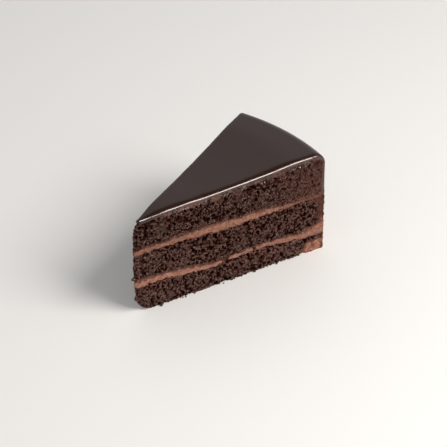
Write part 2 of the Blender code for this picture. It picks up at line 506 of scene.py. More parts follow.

# %% [markdown]
# ## What the knife leaves on the crumb
#
# The knife comes down through the glaze, the cream and the coat, and drags some of each
# over the crumb. Four things show, and each becomes a note on the vertices.
#
# - Smear: under the glaze lies a ragged band of glaze and crumb whose pores are closed. It
#   is widest some way behind the tip, and the tip itself stays nearly clean.
# - Rim: towards the outer side, cream from the coat closes the pores.
# - Wet: small groups of crumbs under the glaze shine, and glints are painted on them.
# - Stained: beside the fillings the crumb has taken up some cream.
#
# The first and the third lie under the glaze, so they are shaped by how deep a place is
# below the top of the top sponge. The wet groups are given one by one, because the eye finds
# them at once. Each has a radius, a spread and a depth in millimetres, and the number of
# specks on each cut, which are made further down.

# %% Marks under the glaze
THIN_COAT, GLAZE_ON_SIDE, COAT_CLEAR = 1.5 * MM, 2.5 * MM, 0.3 * MM
THIN_RIM = CAKE_RADIUS - THIN_COAT
THICK_RIM = CAKE_RADIUS - GLAZE_ON_SIDE - COAT_CLEAR
SPECK_GROUPS = [
    (25.5, 0.9, 1.3, 9),
    (31, 2.0, 1.5, 4),
    (44, 3.0, 1.2, 5),
    (55, 2.0, 1.0, 6),
    (65, 2.2, 1.2, 18),
    (81, 1.0, 1.6, 12),
    (96, 1.6, 2.2, 18),
    (104, 1.2, 2.0, 9),
    (108, 0.6, 6.0, 5),
]


def behind_tip(radius):
    """1 along the slice and less at its tip, where the knife left the cut nearly clean."""
    return 0.3 + 0.7 * ease(12 * MM, 20 * MM, radius)


def under_top(places):
    """How deep each place lies below the top of the top sponge."""
    radius, angle, height = polar(places)
    radii = np.linspace(TOP_FROM, THICK_RIM - 4 * MM, 40)
    return felt(Solid("sponge_top").top, angles_across(5), radii).at(angle, radius) - height


def smear_under_glaze(places, radius, under):
    """A band that fades out downwards, over a thinner one that reaches further down."""
    wide = 0.9 * MM * ease(10 * MM, 16 * MM, radius) * ease(36 * MM, 28 * MM, radius)
    ragged = 1.1 * MM * wander(places, 5 * MM)
    band = ease(2.2 * MM, 0.6 * MM, under - wide + ragged)
    thinner = 0.7 * ease(3.8 * MM, 1.8 * MM, under + ragged)
    return np.maximum(band, thinner) * behind_tip(radius)


def wet_groups(radius, under):
    """1 at the middle of each group of wet crumbs, and a soft slope around it."""
    wet = np.zeros(len(radius))
    for middle, spread, below, _ in SPECK_GROUPS:
        aside = (radius / MM - middle) / (1.3 * spread)
        down = (under / MM - below) / 0.9
        wet = np.maximum(wet, np.exp(-aside**2 - down**2))
    return wet


print("specks on each cut:", sum(count for *_, count in SPECK_GROUPS))

# %% [markdown]
# The stain follows the upper and lower edges of a sponge, except where no filling lies
# beside it: under the bottom sponge and over the top one. The rim follows the outer side.
# On the top sponge it also reaches much further in, though fainter there.

# %% Mark the crumb
def stain_beside_cream(node, piece, up):
    """How much cream the knife has dragged onto a sponge beside its fillings."""
    places = points_of(piece)
    thick = places[up == 1, 2].mean() - places[up == 0, 2].mean()
    below = thick * (up if node != "sponge_bottom" else 1)
    above = thick * (1 - up if node != "sponge_top" else 1)
    away = np.minimum(below, above) + 1.0 * MM * wander(places, 3 * MM)
    return ease(2.0 * MM, 0.3 * MM, away)


def mark_crumb(node, piece, up, rim):
    """Notes what the knife left on a sponge, and returns its smear and its rim."""
    places = points_of(piece)
    radius = polar(places)[0]
    at_rim = ease(rim - 4 * MM, rim + 0.5 * MM, radius + 1.2 * MM * wander(places, 3 * MM))
    smear = wet = np.zeros(len(places))
    if node == "sponge_top":
        under = under_top(places)
        smear, wet = smear_under_glaze(places, radius, under), wet_groups(radius, under)
        at_rim = np.maximum(at_rim, 0.6 * ease(72 * MM, 98 * MM, radius))
    note(piece, "smear", smear)
    note(piece, "rim", at_rim)
    note(piece, "wet", wet)
    note(piece, "stained", stain_beside_cream(node, piece, up))
    return smear, at_rim

# %% [markdown]
# ## The three sponges
#
# The bottom sponge reaches out to where the coat is thin. The two above it end a little
# further in, where the glaze comes down the side. The outer top corner of the top sponge
# is lifted into the glaze, so that no gap shows behind its bend. The layer shade note grows
# from layer to layer: it paints the upper ones darker as painted shade, while the lowest
# stays lighter, as if lit from the pale floor.

# %% Make the sponges
# The third value is painted shade: upper sponges darker, the lowest lit from the floor.
SPONGES = {
    "sponge_bottom": {"rim": THIN_RIM, "rows": 46, "layer_shade": 0.0},
    "sponge_middle": {"rim": THICK_RIM, "rows": 66, "layer_shade": 0.4},
    "sponge_top": {"rim": THICK_RIM, "rows": 70, "layer_shade": 1.0},
}
SPONGE_COLUMNS, SPONGE_STEPS = 420, 12
SPONGE_OVERLAP = 0.3 * MM


def fill_corner(piece, up):
    """Lifts the outer top corner of a sponge a little way into the glaze that lies over it."""
    radius, angle, height = polar(points_of(piece))
    lift = 1.4 * MM * up * ease(THICK_RIM - 9 * MM, THICK_RIM - 1 * MM, radius)
    place_points(piece, from_polar(radius, angle, height + lift))


sponges = {}
for node, facts in SPONGES.items():
    size = (SPONGE_COLUMNS, facts["rows"], SPONGE_STEPS)
    piece, along, across, up = led_wedge(node, facts["rim"], size, SPONGE_OVERLAP)
    if node == "sponge_top":
        fill_corner(piece, up)
    smear, at_rim = mark_crumb(node, piece, up, facts["rim"])
    note(piece, "layer_shade", np.full(len(up), facts["layer_shade"]))
    proud = 0.15 * MM * at_rim - 0.3 * MM * smear
    tear_crumb(piece, along, across, up, np.maximum(smear, 0.8 * at_rim), proud)
    sponges[node] = piece

# %% [markdown]
# ## The two fillings
#
# The cream was soft when it was cut. It stands a little proud of the crumb in the middle
# of its layer, and thins out to nothing at its ragged edges, where crumbs lie on it. So
# each filling is made thicker than its solid, reaching into both sponges, and its cut
# face is bowed: proud in the middle and sunk behind the crumb at the top and the base.
# Where the two rough faces cross, the edge of the cream comes out ragged by itself. A
# drawn edge would look drawn.
#
# Both fillings are fuller towards the outer side, each by a height that it gains between
# two radii. The lower one is also torn through in three places, each given by its cut, its
# radius and its width. All are in millimetres.

# %% Shape the edges of the cream
FULLER = {"filling_lower": (0.3, 52, 60), "filling_upper": (0.25, 75, 90)}
NEAR, FAR = 1, -1
CREAM_BREAKS = [(NEAR, 54.5, 1.6), (NEAR, 72.0, 0.8), (FAR, 37.0, 1.5)]


def inside_cream(node, places):
    """How far each place lies inside the ragged edges of a filling, and half its height."""
    radius, angle, height = polar(places)
    solid = Solid(node)
    angles, radii = angles_across(5), np.linspace(BASE_FROM, radius.max(), 60)
    top = felt(solid.top, angles, radii).at(angle, radius)
    base = felt(solid.base, angles, radii).at(angle, radius)
    half = (top - base) / 2
    ragged = 0.55 * wander(places, 2.4 * MM) + 0.4 * wander(places, 1.0 * MM)
    inside = np.minimum(top - height, height - base) + ragged * np.minimum(1 * MM, 0.9 * half)
    more, start, end = FULLER[node]
    return inside + more * MM * ease(start * MM, end * MM, radius), half


def broken(radius, angle):
    """How far crumb closes over the lower filling where it is torn through."""
    closed = np.zeros(len(radius))
    for side, middle, width in CREAM_BREAKS:
        gap = np.exp(-(((radius / MM - middle) / width) ** 2))
        closed += 2.4 * MM * gap * (np.sign(angle) == side)
    return closed

# %% [markdown]
# Crumb and glaze have darkened the upper filling all along, and the lower one in its outer
# half. How far they hide the cream, there and at its ragged edges, is noted as crumbed.
# After the bow, two cloud textures rough up the cut face, as a blade does to cream.

# %% Make the fillings
FILLING_SIZE = (340, 16, 12)
FILLING_OVERLAP = 0.9 * MM
RAGGED = cloud_texture("ragged", 2.2 * MM, 2)
DRAGGED = cloud_texture("dragged", 0.9 * MM, 2)


def darkened(node, radius):
    """How far crumb and glaze have darkened a filling, all through its height."""
    if node == "filling_lower":
        return 0.42 * ease(55 * MM, 65 * MM, radius)
    at_tip, at_rim = ease(45 * MM, 20 * MM, radius), ease(80 * MM, 108 * MM, radius)
    return 0.41 + 0.09 * at_tip + 0.4 * at_rim


def bow(piece, node, across, along):
    """Bows the cut faces of a filling, proud in the middle and sunk at its edges."""
    places = points_of(piece)
    radius, angle, _ = polar(places)
    inside, half = inside_cream(node, places)
    if node == "filling_lower":
        inside -= broken(radius, angle)
    proud = 0.15 * MM - 1.2 * MM * ease(0.5 * MM, -0.6 * MM, inside)
    at_edge = ease(0.8, -0.1, inside / np.maximum(half, 0.5 * MM))
    note(piece, "crumbed", np.maximum(at_edge, darkened(node, radius)))
    on_cut = cut_faces(across) | (along == 0)
    place_points(piece, places + outwards(piece) * (proud * on_cut)[:, None])
    return group_of(piece, "cut", on_cut)


fillings = {}
for node, rim in (("filling_lower", THIN_RIM), ("filling_upper", THICK_RIM)):
    piece, along, across, up = led_wedge(node, rim, FILLING_SIZE, FILLING_OVERLAP)
    cut = bow(piece, node, across, along)
    displace(piece, RAGGED, 0.4 * MM, 0.5, cut)
    displace(piece, DRAGGED, 0.2 * MM, 0.5, cut)
    fillings[node] = piece

# %% [markdown]
# ## The glaze
#
# Warm glaze is poured over the cake, finds its own level on top, turns over the rim and
# sets in soft tongues on the side. It could be a thickened copy of the solid's top, but its
# edges matter most, and they are easiest to shape on a strip whose every column is known.
# So the piece is spun as a long flat strip, and its length is then taken as a path: along
# the top, round the rim and down the side to the wavy hem.

# %% Follow the glaze
RIM_ROUND = 6.5 * MM
HEM_RADIUS = CAKE_RADIUS - 1.2 * MM
GLAZE_COLUMNS, GLAZE_ROWS, GLAZE_STEPS, EDGE_STEPS = 220, 8, 60, 6
STRIP_START, STRIP_LENGTH, STRIP_HEIGHT = 6 * MM, 137 * MM, 2 * MM


def smooth_through(stations, values, places):
    """Values on a smooth curve through a few stations."""
    slopes = np.gradient(values, stations)
    right = np.clip(np.searchsorted(stations, places), 1, len(stations) - 1)
    left = right - 1
    width = stations[right] - stations[left]
    t = (places - stations[left]) / width
    value = (2 * t**3 - 3 * t**2 + 1) * values[left] + (3 * t**2 - 2 * t**3) * values[right]
    slope = (t**3 - 2 * t**2 + t) * slopes[left] + (t**3 - t**2) * slopes[right]
    return value + width * slope


def glaze_hem(share):
    """The height of the hem at a share of the way across between the two cut edges."""
    solid, angles = Solid("glaze"), angles_across(25)
    hem = np.array([solid.base(angle, HEM_RADIUS) for angle in angles])
    return smooth_through(angles, hem, HALF_ANGLE * (1 - 2 * share))


def glaze_path(path, hem):
    """Radius and height of the outer face at each share of the path from the tip to the hem.

    The third value is how far the face has turned: 0 on top, a quarter circle on the side.
    """
    solid = Solid("glaze")
    radii = np.linspace(TOP_FROM, CAKE_RADIUS - RIM_ROUND, 9)
    crown = np.array([solid.top(HALF_ANGLE, radius) for radius in radii])
    tip = solid.tip(HALF_ANGLE, crown[0] - 0.3 * MM)
    top_length = CAKE_RADIUS - RIM_ROUND - tip
    turn_length = RIM_ROUND * math.pi / 2
    side_length = crown[-1] - RIM_ROUND - hem
    walked = path * (top_length + turn_length + side_length)
    on_top = tip + np.minimum(walked, top_length)
    turn = np.clip((walked - top_length) / RIM_ROUND, 0, math.pi / 2)
    down = np.maximum(walked - top_length - turn_length, 0)
    level = smooth_through(radii, crown, np.maximum(on_top, radii[0]))
    return on_top + RIM_ROUND * np.sin(turn), level - RIM_ROUND * (1 - np.cos(turn)) - down, turn


hem = 1000 * glaze_hem(np.linspace(0, 1, 25))
print("the hem hangs", hem.min().round(1), "to", hem.max().round(1), "mm above the floor")

# %% [markdown]
# ### The soft edges of the glaze
#
# The knife rounds the cut edges, and this rounding catches the light along the whole top
# of the slice. A bevel would make it, but with one width everywhere. So the first and the
# last few steps of the spin are packed close and dropped along a quarter round instead.
# The blade drew the near edge down, so there the round is a wide shoulder that also sags a
# little. On the far edge it is tight, and down the side both are.
#
# The hem turns in to a lip, with a bulge just above it where the glaze ran together. The
# tip is rounded too. These three are given as how far the outer face sinks or swells.

# %% Round the edges of the glaze
EDGE_ROUNDING = 1.3 * MM
NEAR_SHOULDER = 1.9
NEAR_SAG = 0.6 * MM
LIP_HEIGHT, LIP_DEPTH = 1.4 * MM, 1.3 * MM
BULGE_HEIGHT, BULGE_SPREAD, BULGE = 1.7 * MM, 1.8 * MM, 0.8 * MM
NOSE_LENGTH, NOSE_DEPTH = 1.1 * MM, 1.0 * MM


def quarter_round(share, depth):
    """How deep a quarter round lies below its face: nothing at 0 and all its depth at 1."""
    return depth * (1 - np.sqrt(1 - share**2))


def cut_edge(places, radius, turn, side, from_edge):
    """The shoulder of the cut edge, how far in from it a vertex lies, its drop and its sag."""
    quarter = np.clip(from_edge / EDGE_STEPS, 0, 1) * math.pi / 2
    uneven = 0.12 * wander(places, 11 * MM) + 0.02 * wander(places, 3 * MM)
    rounding = EDGE_ROUNDING * (1 - 0.5 * np.sin(turn)) * (1 + uneven)
    near_top = np.cos(turn) * (side == NEAR)
    wide = rounding * (1 + NEAR_SHOULDER * near_top)
    shoulder = np.minimum(wide, 0.9 * HALF_ANGLE * radius)
    inwards, down = 1 - np.cos(quarter), 1 - np.sin(quarter)
    return shoulder, shoulder * inwards, rounding * down, NEAR_SAG * near_top * down


def sink_at_ends(along, above_hem, on_side):
    """How far the outer face sinks at the lip, swells above it, and sinks at the tip."""
    lip = quarter_round(np.clip(1 - above_hem / LIP_HEIGHT, 0, 1) * on_side, LIP_DEPTH)
    bulge = BULGE * np.exp(-(((above_hem - BULGE_HEIGHT) / BULGE_SPREAD) ** 2)) * on_side
    nose = quarter_round(np.clip(1 - along * STRIP_LENGTH / NOSE_LENGTH, 0, 1), NOSE_DEPTH)
    return lip, bulge, nose

# %% [markdown]
# ### Draping the strip
#
# Now every vertex of the strip can be placed. Along the path it stands on the outer face or
# sinks below it, by its share of the way up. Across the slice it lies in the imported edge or
# is spread evenly between the two shoulders. The inner face is drawn back a little down
# the side, so that it doesn't show at the cut. Where crumb has dulled the glaze is noted
# as smeared.

# %% Drape the glaze
SIDE_TURN = 1.5
THICK_ON_TOP, THICKER_ON_SIDE, INNER_RECESS = 1.6 * MM, 0.9 * MM, 0.4 * MM


def drape_glaze():
    """The glaze, with each vertex's radius, turn and count of steps from a cut edge."""
    size = (GLAZE_COLUMNS, GLAZE_ROWS, GLAZE_STEPS)
    strip = spun_sheet("fine_glaze", STRIP_START, STRIP_LENGTH, STRIP_HEIGHT, size)
    piece, along, across, up = strip
    step = np.rint(across * GLAZE_STEPS)
    from_edge = np.minimum(step, GLAZE_STEPS - step)
    side = np.where(step < GLAZE_STEPS / 2, NEAR, FAR)
    share = np.clip((step - EDGE_STEPS) / (GLAZE_STEPS - 2 * EDGE_STEPS), 0, 1)
    hem = glaze_hem(share)
    radius, level, turn = glaze_path(along, hem)
    shoulder, inwards, drop, sag = cut_edge(points_of(piece), radius, turn, side, from_edge)
    level -= sag
    lip, bulge, nose = sink_at_ends(along, level - hem, turn > SIDE_TURN)
    outer = np.maximum(np.maximum(drop, lip) - bulge, nose)
    thickness = THICK_ON_TOP + THICKER_ON_SIDE * np.sin(turn)
    sunk = outer * up + thickness * (1 - up)
    radius = radius - sunk * np.sin(turn)
    level = level - sunk * np.cos(turn)
    half_width = HALF_ANGLE * radius
    recess = INNER_RECESS * np.sin(turn) * (1 - up)
    packed = half_width - inwards - recess
    spread = (half_width - shoulder) * np.abs(1 - 2 * share)
    angle = side * np.where(from_edge <= EDGE_STEPS, packed, spread) / radius
    place_points(piece, from_polar(radius, angle, level))
    return piece, radius, turn, from_edge


def smear_glaze(piece, radius, turn, from_edge):
    """Notes where crumb has dulled the glaze: on its cut edges, most of all at the rim."""
    places = points_of(piece)
    patches = 0.62 + 0.5 * wander(places, 6 * MM) + 0.35 * wander(places, 1.8 * MM)
    patches = np.clip(patches, 0.1, 1)
    at_rim = ease(0.1, 0.6, np.sin(turn)) * ease(2.5, 0.5, from_edge)
    below = ease(2.2, 0.6, from_edge) * patches * behind_tip(radius)
    note(piece, "smeared", np.maximum(at_rim * (0.6 + 0.4 * patches), below))


glaze, *edge_facts = drape_glaze()
smear_glaze(glaze, *edge_facts)
print("the glaze is", round(1000 * np.ptp(points_of(glaze)[:, 2]), 1), "mm from hem to crown")

# %% [markdown]
# ## The cream on the outer side
#
# The coat was spread with a spatula while the cake turned, so it is smooth with faint
# level ridges, thin in the middle and thick at the foot, where cream gathers on the
# board. It starts as a spun sheet across its thickness, and its inner face is led to the
# inner face of its solid. The ridges are noise that is drawn out around the cake.
#
# On the cut, the inner edge of the thick foot is sunk behind the crumb along a ragged
# line, as the fillings are.

# %% Spread the coat
COAT_SIZE = (24, 110, 48)
COAT_DEPTH, COAT_HEIGHT = 13 * MM, 35 * MM
UNDER_GLAZE, FOOT_SINK = 0.9 * MM, 1.4 * MM
COAT_RELIEF = (
    (RAGGED, 0.5 * MM, 0.5),
    (LUMPS, 0.5 * MM, 0.5),
    (SMALL_PORES, 0.35 * MM, 0.8),
    (GRAIN, 0.3 * MM, 0.5),
)


def spread_coat():
    """The coat, its inner part reaching a little way up under the glaze."""
    start = CAKE_RADIUS - COAT_DEPTH
    strip = spun_sheet("fine_side_cream", start, COAT_DEPTH, COAT_HEIGHT, COAT_SIZE)
    piece, along, across, up = strip
    solid, angles = Solid("side_cream"), angles_across(25)
    crest = np.array([solid.top(angle, HEM_RADIUS) for angle in angles])
    angle = HALF_ANGLE * (1 - 2 * across)
    height = up * (smooth_through(angles, crest, angle) + UNDER_GLAZE * (along < 0.9))
    inner = felt(solid.tip, angles[::4], np.linspace(Solid.INSIDE, 34 * MM, 60))
    inside = inner.at(angle, np.minimum(height, 33 * MM))
    thick = CAKE_RADIUS - inside
    radius = inside + along * thick
    ragged = radius - inside + 0.9 * MM * wander(from_polar(radius, angle, height), 1.6 * MM)
    in_foot = ease(3 * MM, 6 * MM, thick) * (1 - along)
    sunk = FOOT_SINK * ease(1.4 * MM, 0.2 * MM, ragged) * in_foot
    angle *= 1 - cut_faces(across) * sunk / (HALF_ANGLE * radius)
    place_points(piece, from_polar(radius, angle, height))
    return piece, along, across


def ridge(angle, height):
    """Noise drawn out around the cake, narrow ridges over broad ones."""
    narrow = noise.noise(Vector((8 * angle, 0, height / (2.6 * MM))))
    return narrow + 0.6 * noise.noise(Vector((3 * angle, 5, height / (7 * MM))))


def add_ridges(piece, along):
    """Lifts level ridges on the outer face, above the board."""
    radius, angle, height = polar(points_of(piece))
    ridges = np.array([ridge(*place) for place in zip(angle, height)])
    radius += 0.35 * MM * ridges * ((along == 1) * ease(0.0, 2 * MM, height))
    place_points(piece, from_polar(radius, angle, height))


coat, along, across = spread_coat()
add_ridges(coat, along)
note(coat, "outer", (along > 0.8) * ~cut_faces(across))
cut = group_of(coat, "cut", cut_faces(across))
for texture, depth, middle in COAT_RELIEF:
    displace(coat, texture, depth, middle, cut)
print("the coat stands", round(1000 * points_of(coat)[:, 2].max(), 1), "mm high")

# %% [markdown]
# ## Loose crumbs
#
# Cutting leaves crumbs along the foot of the slice and stuck to its faces. Particles could
# scatter them, but a loop that draws each place is as short, and stays the same on every
# run because its draws come from a fixed seed. A few kinds of crumb are enough. Each starts
# as a small round of a few dozen faces, and stands apart from the others while a texture
# dents it, so that each is dented differently. The copies are turned and sized and then
# joined into one piece.

# %% Make and scatter lumps
APART = 0.01
draw = np.random.default_rng(7)


def crumb_kinds(count, dents):
    """A few small lumps of unit size."""
    kinds = []
    for index in range(count):
        bpy.ops.mesh.primitive_uv_sphere_add(
            segments=8, ring_count=6, radius=1 * MM, location=(APART * index, 0, 0)
        )
        lump = bpy.context.object
        only(lump)
        bpy.ops.object.transform_apply(location=True, rotation=True, scale=True)
        displace(lump, GRAIN, dents, 0.5)
        lump.data.transform(Matrix.Translation((-APART * index, 0, 0)))
        kinds.append(lump)
    return kinds


def scattered(name, kinds, spots):
    """One piece of many copies, each shaped by a matrix and put at its spot."""
    copies = []
    for spot, shape in spots:
        copy = kinds[draw.integers(len(kinds))].copy()
        copy.data = copy.data.copy()
        bpy.context.scene.collection.objects.link(copy)
        copy.data.transform(Matrix.Translation(spot) @ shape)
        copies.append(copy)
    bpy.ops.object.select_all(action="DESELECT")
    for copy in copies:
        copy.select_set(True)
    bpy.context.view_layer.objects.active = copies[0]
    bpy.ops.object.join()
    copies[0].name = copies[0].data.name = name
    for lump in kinds:
        bpy.data.objects.remove(lump)
    print(name, "has", len(spots), "lumps and", len(copies[0].data.polygons), "faces")
    return copies[0]

# %% [markdown]
# Some crumbs lie at the foot of the cuts, a few of them large and a few rolled away a
# little. More of them, and none of those large, cling to the cut faces. All are turned any
# way.

# %% Scatter crumbs
FOOT_CRUMBS, FACE_CRUMBS = 46, 70


def any_way(size):
    """Turned at random and stretched a little each way."""
    angle, axis = draw.uniform(0, 6.28), Vector(draw.normal(size=3)).normalized()
    stretch = Matrix.Diagonal((*(size * draw.uniform(0.7, 1.3, 3)), 1))
    return Matrix.Rotation(angle, 4, axis) @ stretch


def cut_spot(radius, side, out, height):
    """A place on a cut face, or a little way out from it."""
    angle = side * HALF_ANGLE
    x, y, z = one_spot(radius, angle, height)
    return Vector((x + side * out * math.cos(angle), y - out * math.sin(HALF_ANGLE), z))


def crumb_spots():
    """Crumbs that lie at the foot of the cuts, and then smaller ones that cling higher up."""
    spots = []
    for _ in range(FOOT_CRUMBS):
        size = 0.3 + 0.55 * draw.random() ** 2
        side = NEAR if draw.random() < 0.5 else FAR
        out = (0.1 + 0.7 * draw.random() ** 3) * MM
        spot = cut_spot(draw.uniform(9, 108) * MM, side, out, 0.6 * size * MM)
        spots.append((spot, any_way(size)))
    for _ in range(FACE_CRUMBS):
        size = 0.3 + 0.35 * draw.random()
        side = NEAR if draw.random() < 0.6 else FAR
        spot = cut_spot(draw.uniform(3, 112) * MM, side, 0.0, draw.uniform(2, 52) * MM)
        spots.append((spot, any_way(size)))
    return spots


crumbs = scattered("crumbs", crumb_kinds(5, 1.5 * MM), crumb_spots())

# %% [markdown]
# ## Wet specks and drops
#
# In the wet groups under the glaze sit small crumbs that are wet with it, and a few longer
# drops of glaze hang on the near cut. They are too small to have a shape that the eye
# could follow, but they glint. The specks are made as the crumbs are, and lie along the
# cut. A drop is a flattened lump that is turned to look half upwards, so that it sends the
# light to the eye. Each drop has a radius, a depth below the top of the sponge and half
# its length, in millimetres.

# %% Scatter specks and drops
DROPS = [(28.3, 3.5, 1.25), (25.9, 3.0, 0.6), (77.5, 2.6, 0.7), (99.0, 2.3, 0.8)]
DROP_FACING, DROP_WIDTH, DROP_THICKNESS = math.radians(46), 0.55, 0.22


def along_cut(side, tilt):
    """Turned to lie along a cut face, with one end tilted up or down a little."""
    turn = Matrix.Rotation(math.pi / 2 - side * HALF_ANGLE, 4, "Z")
    return turn @ Matrix.Rotation(tilt, 4, "Y")


def speck_shape(side):
    """A small lump that lies along a cut, and is most often one of the smallest."""
    turn = along_cut(side, draw.normal() * 0.12)
    big = draw.random() ** 2
    return turn @ Matrix.Diagonal((0.32 + 0.5 * big, 0.2 + 0.16 * big, 0.22 + 0.22 * big, 1))


def speck_spots(solid):
    """Where the specks of each wet group lie on both cuts, and their shapes."""
    spots = []
    for middle, spread, below, count in SPECK_GROUPS:
        for side in (NEAR, FAR):
            for _ in range(count):
                radius = (middle + spread * draw.normal()) * MM
                top = solid.top(side * HALF_ANGLE, radius)
                height = top - max(0.2, below + 0.5 * draw.normal()) * MM
                spot = cut_spot(radius, side, -0.1 * MM, height)
                spots.append((spot, speck_shape(side)))
    return spots


def drop_spots(solid):
    """Where the drops hang on the near cut, and their shapes."""
    spots = []
    facing = Matrix.Rotation(DROP_FACING, 4, "X")
    for radius, below, half_length in DROPS:
        height = solid.top(HALF_ANGLE, radius * MM) - below * MM
        size = Matrix.Diagonal((half_length, DROP_WIDTH, DROP_THICKNESS, 1))
        spot = cut_spot(radius * MM, NEAR, 0.25 * MM, height)
        spots.append((spot, along_cut(NEAR, -0.12) @ facing @ size))
    return spots


top_sponge = Solid("sponge_top")
spots = speck_spots(top_sponge) + drop_spots(top_sponge)
specks = scattered("glaze_specks", crumb_kinds(4, 0.9 * MM), spots)
note(specks, "smeared", np.full(len(specks.data.vertices), 0.15))

# %% [markdown]
# ## Finishes
#
# Shader maths is easier to read as arithmetic, so a small class wraps a socket and turns
# Python's operators into Math nodes. A second class holds one material, and adds every
# other kind of node with one method.

# %% Write shader maths as Python
class Flow:
    """A socket of a material, with operators that add Math nodes."""

    def __init__(self, finish, socket):
        self.finish, self.socket = finish, socket

    def maths(self, operation, first, second):
        return self.finish.add("Math", {"operation": operation}, {0: first, 1: second})

    def __add__(self, other):
        return self.maths("ADD", self, other)

    def __radd__(self, other):
        return self.maths("ADD", other, self)

    def __sub__(self, other):
        return self.maths("SUBTRACT", self, other)

    def __rsub__(self, other):
        return self.maths("SUBTRACT", other, self)

    def __mul__(self, other):
        return self.maths("MULTIPLY", self, other)

    def __rmul__(self, other):
        return self.maths("MULTIPLY", other, self)

    def at_least(self, other):
        return self.maths("MAXIMUM", self, other)

    def between(self, low, high):
        """0 below low, 1 above high, and a soft S between them."""
        settings = {"interpolation_type": "SMOOTHSTEP"}
        sockets = {"Value": self, "From Min": low, "From Max": high}
        return self.finish.add("MapRange", settings, sockets)

# %% [markdown]
# A finish starts from Blender's standard shader. What is the same all over is set on the
# shader's own sockets. What varies comes from noise over the place on the piece, or from
# the notes on its vertices, and never from where the camera stands.

# %% Hold one material
class Finish:
    """One material and its nodes."""

    def __init__(self, name, **constants):
        self.material = bpy.data.materials.new(name)
        self.material.use_nodes = True
        self.nodes = self.material.node_tree.nodes
        self.links = self.material.node_tree.links
        self.shader = self.nodes["Principled BSDF"]
        self.set(**constants)

    def add(self, kind, settings=None, sockets=None, output=0):
        """Adds a node, sets it up, then fills its sockets with values or links."""
        node = self.nodes.new("ShaderNode" + kind)
        for name, value in (settings or {}).items():
            setattr(node, name, value)
        for key, value in (sockets or {}).items():
            self.fill(node.inputs[key], value)
        return Flow(self, node.outputs[output])

    def fill(self, socket, value):
        if isinstance(value, Flow):
            self.links.new(value.socket, socket)
        else:
            socket.default_value = value

    def set(self, **sockets):
        """Fills sockets of the shader itself, whose names have spaces for underscores."""
        for name, value in sockets.items():
            self.fill(self.shader.inputs[name.replace("_", " ")], value)

    def place(self, scale=(1, 1, 1)):
        """Object coordinates, finer along an axis where its scale is larger."""
        here = self.add("TexCoord", output="Object")
        return self.add("Mapping", {}, {"Vector": here, "Scale": scale})

    def noted(self, name):
        """A value noted on the piece's vertices."""
        return self.add("Attribute", {"attribute_name": name}, output="Fac")

    def clouds(self, size, detail, stretch=(1, 1, 1)):
        """Noise around one half, with features of a size."""
        sockets = {"Vector": self.place(stretch), "Scale": 1 / size, "Detail": detail}
        return self.add("TexNoise", {}, sockets)

    def mix(self, share, first, second):
        """One colour turning into another. A Mix node keeps its colours in inputs 6 and 7."""
        sockets = {"Factor": share, 6: first, 7: second}
        return self.add("Mix", {"data_type": "RGBA"}, sockets, output=2)

    def bump(self, height, distance, strength):
        sockets = {"Height": height, "Distance": distance, "Strength": strength}
        return self.add("Bump", {}, sockets)


def colour(red, green, blue):
    """A colour in linear light, ready for a socket."""
    return (red, green, blue, 1.0)

# %% [markdown]
# ### Sponge
#
# Moist chocolate sponge is a warm dark brown on its walls. Light grey flecks on the walls
# are painted highlights, standing for fat and sugar on the crumb that catch the light. The
# walls are mixed from clouds of three sizes and from the notes of the layer shade, the dense
# patches and the stain of cream. The layer shade paints the upper sponges darker, as painted
# shade, and leaves the lowest lighter, as if lit from the pale floor. The pores are painted
# nearly black over the walls, as painted shade inside them, and what the knife smeared lies
# over both. A clear coat lets the faces of the crumb shine a little, most where they are
# wet, but not the pores. In the wet groups the colour is also lightened in small spots, as
# painted glints.

# %% Sponge finish
RIM_SMEAR = colour(0.044, 0.0120, 0.0070), colour(0.092, 0.0310, 0.0190)


def sponge_walls(finish, sheen_flecks):
    """The colour of the walls between the pores, with painted shade on the upper layers and
    painted highlights on light flecks.
    """
    mottle, moist = finish.clouds(3 * MM, 3), finish.clouds(11 * MM, 2)
    dark, light = colour(0.064, 0.0220, 0.0148), colour(0.097, 0.0375, 0.0265)
    wall = finish.mix(mottle.between(0.35, 0.65), dark, light)
    wall = finish.mix(moist.between(0.42, 0.62) * 0.6, wall, colour(0.077, 0.0370, 0.0285))
    # Painted shade: the upper sponges are darkened by layer, the lowest is left lighter.
    wall = finish.mix(finish.noted("layer_shade") * 0.9, wall, colour(0.046, 0.0155, 0.0100))
    wall = finish.mix(finish.noted("dense") * 1.5, wall, colour(0.043, 0.0170, 0.0120))
    wall = finish.mix(finish.noted("stained") * 0.55, wall, colour(0.150, 0.054, 0.035))
    # Painted highlights: light grey flecks where fat and sugar would catch the light.
    return finish.mix(sheen_flecks.between(0.54, 0.70), wall, colour(0.205, 0.135, 0.113))


def smeared_over(finish, body, smear, rim):
    """The same colour with glaze dragged over it under the top, and cream towards the rim."""
    streak = finish.clouds(0.8 * MM, 3, (1, 1, 0.15)).between(0.35, 0.65)
    dragged = finish.mix(streak, colour(0.090, 0.033, 0.022), colour(0.172, 0.086, 0.068))
    body = finish.mix(smear.between(0.3, 1.0) * 0.85, body, dragged)
    return finish.mix(rim.between(0.2, 1.0) * 0.6, body, finish.mix(streak, *RIM_SMEAR))


